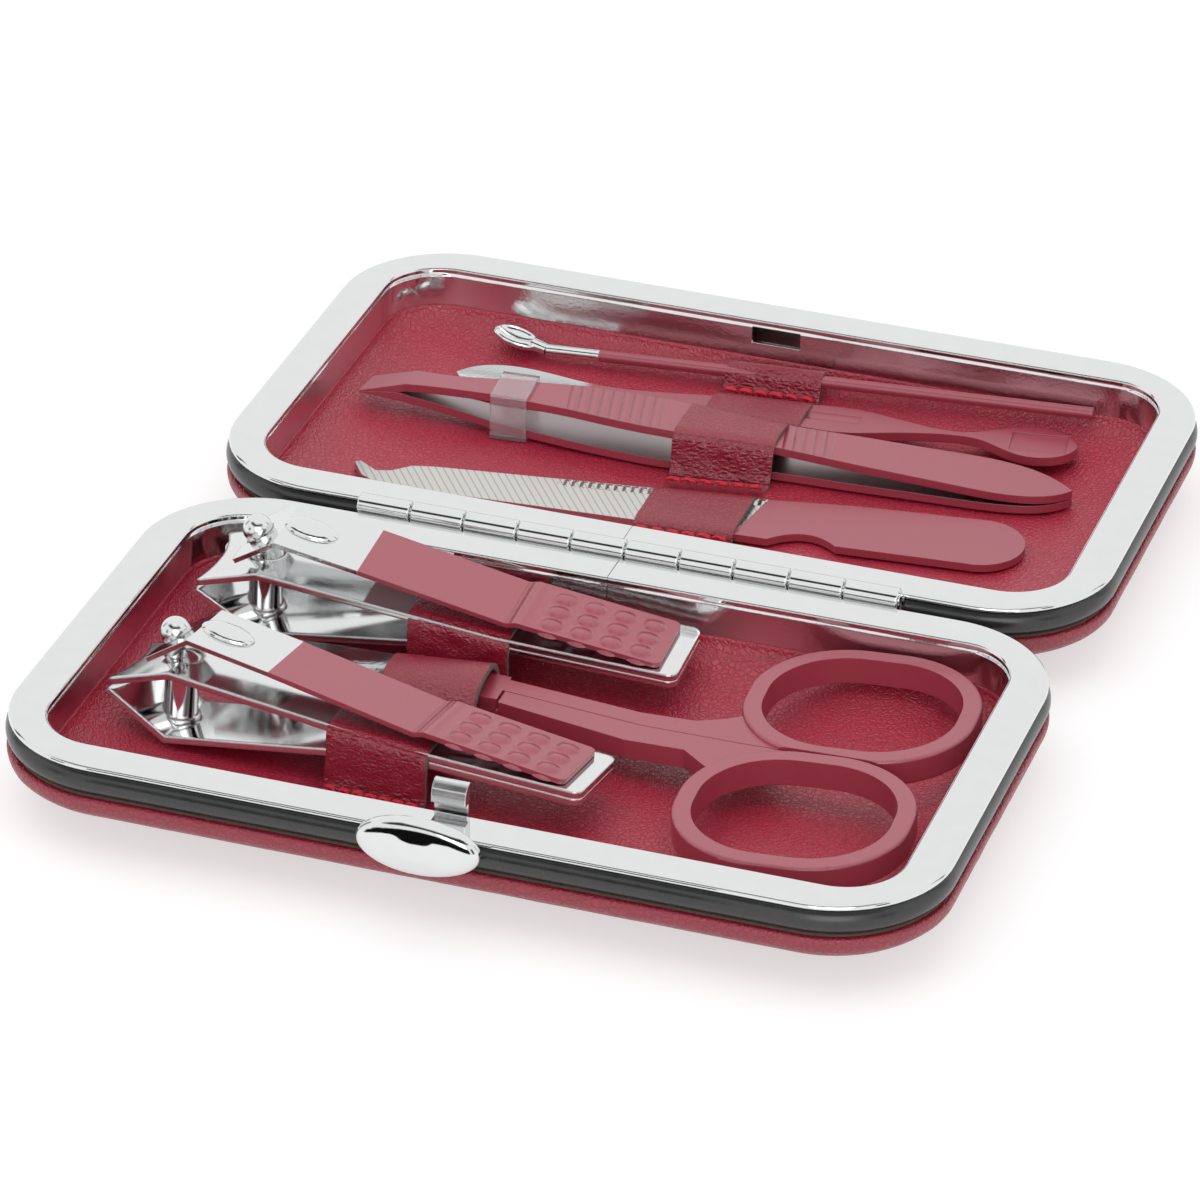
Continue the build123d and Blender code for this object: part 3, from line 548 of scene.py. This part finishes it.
def dress_tools():
    steel = chrome("clipper_chrome", 0.085, edge=0.5, wave=0.006)
    screw = chrome("screw_steel", 0.2, (0.6, 0.6, 0.6))
    for letter, pose in CLIPPER_POSES.items():
        dress(steel, *(f"clipper_{letter}_{piece}" for piece in ("lower_jaw", "upper_jaw", "post")))
        origin, axis, across = clipper_axes(pose)
        lever = half_coated(f"lever_coat_{letter}", origin, axis, edge=39.0)
        pillows(lever, origin, axis, across)
        fold_line(lever, origin, axis)
        dress(lever, f"clipper_{letter}_lever")
    left = Vector((-1, 0, 0))
    dress(half_coated("scissors_coat", place(-14.0, 0, 0), left, softness=0.3),
          "scissors_far_half", "scissors_near_half")
    dress(screw, "scissors_screw")
    dress(inside_bare("tweezers_upper_coat", -1.0), "tweezers_upper_arm")
    dress(inside_bare("tweezers_lower_coat", 1.0), "tweezers_lower_arm")
    dress(half_coated("pusher_coat", place(-22, 0, 0), left, softness=0.8), "cuticle_pusher")
    dress(half_coated("pick_coat", place(-22.6, 0, 0), left), "ear_pick")
    guard = material("guard_plastic", (0.93, 0.86, 0.88), 0.14)
    shader_of(guard).inputs["Transmission Weight"].default_value = 0.86
    shader_of(guard).inputs["IOR"].default_value = 1.35
    ease_edges(guard, 0.25)
    bump(guard, noise_of(guard, millimetres(guard), 0.5, 2), 0.1)
    dress(guard, "tweezers_tip_guard")
    dress_file()


def dress_file():
    """Nickel-plated blade cut with slanting teeth, finer along one edge, and a coated handle."""
    mat = coated("file_nickel")
    tree = mat.node_tree
    where = millimetres(mat)
    edge = along(mat, place(7.0, 28.0, 0), (-0.985, 0.17, 0))
    mask = smooth_range(tree, edge, -0.05, 0.05)
    part_metal(mat, mask, (0.66, 0.645, 0.61), 0.3)
    top = smooth_range(tree, facing_up(mat), 0.85, 0.95)
    cut = math_node(tree, "MULTIPLY", mask, top)
    teeth = slanting_teeth(mat, where, -34.6, 0.361, "SAW")
    fine = slanting_teeth(mat, where, -8.5, 0.30, "SIN")
    # Painted shade: a band of each tooth by its steep face is painted dark grey, over the teeth's
    # bump.
    painted_tooth_shade = math_node(tree, "MULTIPLY", smooth_range(tree, teeth, 0.75, 1.0), cut)
    bump(mat, math_node(tree, "MULTIPLY", teeth, cut), 0.3)
    smooth_colour = shader_of(mat).inputs["Base Color"].links[0].from_socket
    colour_between(mat, painted_tooth_shade, smooth_colour, (0.36, 0.35, 0.33))
    from_edge = along(mat, place(-7.0, 30.2, 0), (-0.147, 0.989, 0))
    near_edge = band_of(tree, from_edge, -1.7, -0.3, 0.2)
    right = smooth_range(tree, along(mat, place(-18, 0, 0), (1, 0, 0)), 0.0, 2.0)
    bump(mat, product(tree, fine, cut, near_edge, right), 0.25)
    dress(mat, "nail_file")


def slanting_teeth(mat, where, angle, scale, profile):
    """Straight waves across the blade, turned by angle in degrees."""
    tree = mat.node_tree
    turned = node(tree, "ShaderNodeMapping")
    turned.inputs["Rotation"].default_value = (0, 0, math.radians(angle))
    tree.links.new(where, turned.inputs["Vector"])
    wave = node(tree, "ShaderNodeTexWave", wave_profile=profile, Scale=scale, Distortion=0.25)
    wave.inputs["Detail Scale"].default_value = 0.3
    tree.links.new(turned.outputs[0], wave.inputs["Vector"])
    return wave.outputs["Fac"]


# ---------------------------------------------------------------- soft pieces
def rounded(inset, corner, z):
    """Points of a rounded rectangle about the half's centre, evenly shared between its sides."""
    share = RING_POINTS // 8
    half_x = FRAME_LENGTH / 2 - inset
    half_y = max(FRAME_WIDTH / 2 - inset, 0.01)
    corner = max(min(corner, half_y, half_x), 0.005)
    points = []
    for cx, cy, start in ((1, 1, 0), (-1, 1, 90), (-1, -1, 180), (1, -1, 270)):
        for k in range(share + 1):
            a = math.radians(start + 90 * k / share)
            points.append((cx * (half_x - corner) + corner * math.cos(a),
                           cy * (half_y - corner) + corner * math.sin(a)))
        nx, ny = -cy, cx   # signs of the next corner
        end = points[-1]
        target_x = nx * (half_x - corner) if start in (0, 180) else end[0]
        target_y = ny * (half_y - corner) if start in (90, 270) else end[1]
        for k in range(1, share - 1):
            t = k / (share - 1)
            points.append((end[0] + (target_x - end[0]) * t, end[1] + (target_y - end[1]) * t))
    return [(x, y + HALF_Y, z) for x, y in points]


def smooth_object(name, verts, faces, mats, body):
    """A smooth-shaded object of that mesh, riding on body."""
    mesh = bpy.data.meshes.new(name)
    mesh.from_pydata([place(*p) for p in verts], [], faces)
    mesh.update()
    for polygon in mesh.polygons:
        polygon.use_smooth = True
    for mat in mats:
        mesh.materials.append(mat)
    piece = bpy.data.objects.new(name, mesh)
    bpy.context.scene.collection.objects.link(piece)
    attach(piece, body)
    return piece


def mesh_piece(name, rows, mats, body, closed=True, fill_last=False, flip=False):
    """A surface through rows of points; fill_last closes the last row with one face."""
    count = len(rows[0])
    faces = []
    last = count if closed else count - 1
    for r in range(len(rows) - 1):
        for c in range(last):
            a, b = r * count + c, r * count + (c + 1) % count
            quad = (a, b, b + count, a + count)
            faces.append(quad[::-1] if flip else quad)
    if fill_last:
        ring = [(len(rows) - 1) * count + c for c in range(count)]
        faces.append(ring[::-1] if flip else ring)
    return smooth_object(name, [p for row in rows for p in row], faces, mats, body)


def opposite(rows):
    """The same rows turned half round, on the lid's side of the hinge."""
    return [[(-x, -y, z) for x, y, z in row] for row in rows]


def curve_through(points, steps):
    """A smooth open line through the points."""
    made = []
    for i in range(len(points) - 1):
        p0, p1 = Vector(points[max(i - 1, 0)]), Vector(points[i])
        p2, p3 = Vector(points[i + 1]), Vector(points[min(i + 2, len(points) - 1)])
        for k in range(steps):
            t = k / steps
            made.append(0.5 * ((2 * p1) + (p2 - p0) * t + (2 * p0 - 5 * p1 + 4 * p2 - p3) * t * t
                               + (3 * p1 - p0 - 3 * p2 + p3) * t * t * t))
    made.append(Vector(points[-1]))
    return made


# the cover from its turned-in top edge to the flat underside, as (inset from the flange edge, z)
SHELL_PROFILE = [(0.6, -4.12), (-0.1, -4.15), (-0.28, -4.6), (-0.15, -5.5), (0.3, -6.25),
                 (1.3, -7.1), (2.8, -7.95), (4.6, -8.8), (6.6, -9.75), (8.6, -10.55),
                 (11.0, -11.15), (13.5, -11.48), (17.0, -11.6)]
COVER_LEATHER = 0.75


def shell_corner(inset):
    """Corner radius of the cover at that inset."""
    return OUTER_CORNER - min(inset, 2.0) - 0.4 * max(inset - 2.0, 0)


def soften(p, amount, size, seed):
    """Hand-made unevenness: a smooth push of up to amount."""
    q = Vector((p[0] / size, p[1] / size, p[2] / size + seed))
    return noise.noise(q) * amount


def outer_shell(name, body, lid, mat):
    """The cover of one half, drawn tight over its board and very slightly uneven."""
    rows = []
    line = [(p[0], p[1]) for p in curve_through([(a, b, 0) for a, b in SHELL_PROFILE], 3)]
    for inset, z in line:
        free = min(max((-z - 4.4) / 2.0, 0), 1) * min(max((z + 11.2) / 2.0, 0), 1)
        row = []
        for x, y, z2 in rounded(inset, shell_corner(inset), z):
            push = abs(soften((x, y, z2), 0.16 * free, 7.0, 3.1 if lid else 8.7))
            length = math.hypot(x, y - HALF_Y)
            row.append((x - x / length * push, y - (y - HALF_Y) / length * push, z2))
        rows.append(row)
    rows = opposite(rows) if lid else rows
    piece = mesh_piece(name, rows, [mat], body, fill_last=True, flip=True)
    solid = piece.modifiers.new("thickness", "SOLIDIFY")
    solid.thickness, solid.offset = COVER_LEATHER * MM, -1
    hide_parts(name.replace("_cover", "_outer_shell"))


LINING_LIFT = 0.03           # how far the drawn lining lies under the solid's face
FLOOR_STEP = 1.2             # between two rings of the lining's floor


def lining(name, body, lid, mat):
    """The lining of one well: a rounded dish with a softly uneven floor."""
    rows = []
    drop = FLOOR_Z + WALL_DEPTH
    insets = [(FLANGE_WIDTH - 2.0, -WALL_DEPTH - 0.06), (FLANGE_WIDTH - 0.3, -WALL_DEPTH - 0.04)]
    for t in range(0, 91, 6):
        insets.append((FLANGE_WIDTH + DISH_INSET * (1 - math.cos(math.radians(t))),
                       -WALL_DEPTH + drop * math.sin(math.radians(t)) - LINING_LIFT))
    inset = FLANGE_WIDTH + DISH_INSET
    while inset < FRAME_WIDTH / 2 - FLOOR_STEP:
        inset += FLOOR_STEP
        insets.append((inset, FLOOR_Z - LINING_LIFT))
    for inset, z in insets:
        corner = WELL_CORNER + DISH_ROUNDING * max(inset - FLANGE_WIDTH, 0)
        row = []
        for x, y, z2 in rounded(inset, corner, z):
            depth = min(max((inset - FLANGE_WIDTH - 7.5) / 3, 0), 1)
            dip = abs(soften((x, y, 0), 0.22, 9.0, 1.7 if lid else 5.3)) * depth
            row.append((x, y, z2 - dip))
        rows.append(row)
    rows = opposite(rows) if lid else rows
    piece = mesh_piece(name, rows, [mat], body, fill_last=True)
    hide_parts(name.replace("_pad", "_lining"))


def cut_corners(points, radius, times=3):
    """Rounds an open line's corners, leaving its long runs straight."""
    for k in range(times):
        made = [points[0]]
        reach = radius / (2 ** k)
        for i in range(1, len(points) - 1):
            p = Vector(points[i])
            for other in (Vector(points[i - 1]), Vector(points[i + 1])):
                length = (other - p).length
                made.append(tuple(p + (other - p) * min(0.3, reach / max(length, 1e-6))))
        made.append(points[-1])
        points = made
    return points


STRAP_COLUMNS, STRAP_STEP = 16, 0.5


def strap_piece(name, body, x0, line0, x1, line1, mats, replaces):
    """A leather strip that runs over the tools in loops and down to the lining between them.

    line0 and line1 are its centre line as (y, z) on its left edge x0 and its right edge x1.
    """
    first = cut_corners([(y, z, 0) for y, z in line0], 0.9)
    second = cut_corners([(y, z, 0) for y, z in line1], 0.9)
    dense_a, dense_b = [], []
    for i in range(len(first) - 1):
        steps = max(int((Vector(first[i + 1]) - Vector(first[i])).length / STRAP_STEP), 1)
        for k in range(steps):
            dense_a.append(Vector(first[i]).lerp(Vector(first[i + 1]), k / steps))
            dense_b.append(Vector(second[i]).lerp(Vector(second[i + 1]), k / steps))
    dense_a.append(Vector(first[-1]))
    dense_b.append(Vector(second[-1]))
    rows = []
    for a, b in zip(dense_a, dense_b):
        row = []
        for k in range(STRAP_COLUMNS + 1):
            s = k / STRAP_COLUMNS
            p = a.lerp(b, s)
            x = x0 + (x1 - x0) * s + soften((p[0], p[1], s * 3), 0.12, 3.0, 2.0)
            row.append((x, p[0], p[1]))
        rows.append(row)
    piece = mesh_piece(name, rows, mats, body, closed=False)
    solid = piece.modifiers.new("thickness", "SOLIDIFY")
    solid.thickness, solid.offset = (STRAP - 0.06) * MM, -1
    solid.material_offset_rim = 1
    solid.use_even_offset = False
    edge = piece.modifiers.new("edge", "BEVEL")
    edge.width, edge.segments = 0.12 * MM, 2
    edge.limit_method, edge.angle_limit = "ANGLE", 1.1
    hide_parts(replaces)


# the loops' centre lines from the front to the back, as (y, z); F is on the lining
F = FLOOR_Z + 0.04
BASE_RIGHT = [(-50.5, F), (-49.0, F), (-48.3, -2.2), (-36.5, -3.3), (-36.1, F), (-33.3, F),
              (-32.6, -5.0), (-29.4, -2.7), (-25.6, -2.5), (-23.0, -4.4), (-22.7, F), (-20.5, F),
              (-20.2, -2.6), (-8.6, -2.1), (-8.4, -6.5)]
BASE_LEFT = [(-49.9, F), (-48.3, F), (-47.4, -1.4), (-35.6, -2.5), (-35.2, F), (-32.6, F),
             (-31.7, -5.9), (-28.2, -4.2), (-25.2, -4.2), (-22.9, -5.1), (-22.7, F), (-20.8, F),
             (-20.5, -1.4), (-8.9, -0.9), (-8.7, -6.4)]
LID_LEFT = [(20.0, F), (21.1, F), (21.6, -7.7), (30.6, -7.7), (31.1, F), (35.7, F), (36.5, -3.4),
            (45.4, -3.4), (45.9, F), (48.4, F), (48.6, -6.8), (55.4, -6.8), (55.8, -8.85),
            (57.9, -8.25), (58.4, -5.2), (60.8, -5.2), (61.1, -5.9)]
LID_RIGHT = [(20.6, F), (22.0, F), (22.5, -7.7), (32.4, -7.7), (33.0, F), (37.6, F), (38.4, -4.0),
             (45.3, -4.0), (45.9, F), (49.1, F), (49.3, -6.6), (56.2, -6.6), (56.5, -8.7),
             (58.3, -8.1), (58.8, -4.7), (61.1, -4.7), (61.25, -5.8)]


def stitches(name, body, rows, mat):
    """Short stitches of three tangled strands; a row is (x0, y0, z0, x1, y1, z1, count)."""
    verts, faces = [], []
    for r, (x0, y0, z0, x1, y1, z1, count) in enumerate(rows):
        for i in range(count):
            step = (Vector((x1, y1, z1)) - Vector((x0, y0, z0))) / count
            for strand in range(3):
                a, b, c = (math.sin(12.9 * i + 7.7 * r + 3.1 * strand + k) for k in (0, 2.4, 4.1))
                base = Vector((x0, y0, z0)) + step * (i + 0.5 + 0.1 * a)
                lean = Vector((0.05 * b, 0.2 * c + 0.11 * (strand - 1), 0.06 * a))
                drift = Vector((0, 0.14 * (strand - 1), 0.04 * b))
                run = step * (0.42 + 0.08 * b)
                thread(verts, faces, base - run - lean + drift, base + run + lean + drift,
                       0.22 + 0.04 * c, 0.42 + 0.12 * b)
    piece = smooth_object(name, verts, faces, [mat], body)


def thread(verts, faces, start, end, radius, rise):
    """One stitch: a short arched tube with closed, sunken ends."""
    rings, sides = 9, 8
    first = len(verts)
    axis = (end - start).normalized()
    side = axis.cross(Vector((0, 0, 1))).normalized()
    up = side.cross(axis)
    for i in range(rings):
        t = i / (rings - 1)
        middle = start.lerp(end, t) + Vector((0, 0, rise * (1 - (2 * t - 1) ** 4) - rise * 0.8))
        r = radius * (1 - 0.75 * abs(2 * t - 1) ** 5)
        for k in range(sides):
            a = 2 * math.pi * k / sides
            verts.append(middle + side * math.cos(a) * r + up * math.sin(a) * r)
    for i in range(rings - 1):
        for k in range(sides):
            a, b = first + i * sides + k, first + i * sides + (k + 1) % sides
            faces.append((a, b, b + sides, a + sides))
    faces.append([first + k for k in range(sides)][::-1])
    faces.append([first + (rings - 1) * sides + k for k in range(sides)])


def make_soft_pieces():
    cover = leather("cover_leather", CRIMSON, grain=1.8, cell=1.3, roughness=0.34, index=1.7)
    inner = leather("lining_leather", LINING, grain=1.5, cell=1.5, roughness=0.34, index=1.75)
    loop = leather("strap_leather", scaled(CRIMSON, 0.9), grain=0.9, cell=1.7, roughness=0.33,
                   index=1.74)
    wrinkle(loop)
    cut = material("strap_edge", (0.05, 0.055, 0.05), 0.8)
    fibres = noise_of(cut, millimetres(cut), 4.0, 3)
    colour_between(cut, fibres, (0.05, 0.055, 0.045), (0.22, 0.23, 0.2))
    outer_shell("base_cover", "base", False, cover)
    outer_shell("lid_cover", "lid", True, cover)
    lining("base_pad", "base", False, inner)
    lining("lid_pad", "lid", True, inner)
    strap_piece("base_strap", "base", -20.0, BASE_LEFT, -7.7, BASE_RIGHT, [loop, cut],
                "base_loop_strap")
    strap_piece("lid_strap", "lid", -6.0, LID_LEFT, 6.3, LID_RIGHT, [loop, cut],
                "lid_loop_strap")
    thread_red = material("thread", (0.6, 0.008, 0.035), 0.45)
    where = millimetres(thread_red)
    bump(thread_red, noise_of(thread_red, where, 9.0), 0.05)
    colour_between(thread_red, noise_of(thread_red, where, 3.0), (0.45, 0.004, 0.022),
                   (0.75, 0.014, 0.055))
    z = FLOOR_Z + STRAP + 0.25
    stitches("base_strap_thread", "base", [
        (-19.7, -49.1, z, -8.0, -49.7, z, 7), (-19.7, -33.9, z, -8.0, -34.7, z, 6),
        (-19.7, -21.8, z, -8.0, -21.6, z, 6)], thread_red)
    stitches("lid_strap_thread", "lid", [
        (-5.7, 20.5, z, 6.0, 21.3, z, 6), (-5.7, 33.4, z, 6.0, 35.3, z, 6),
        (-5.7, 47.1, z, 6.0, 47.5, z, 6), (-5.7, 56.8, -7.5, 6.0, 57.4, -7.3, 6)], thread_red)


make_camera()
make_world()
make_floor()
make_card()
make_lights()
dress_frame_parts()
dress_tools()
make_soft_pieces()
bpy.context.scene.view_settings.view_transform = "Standard"
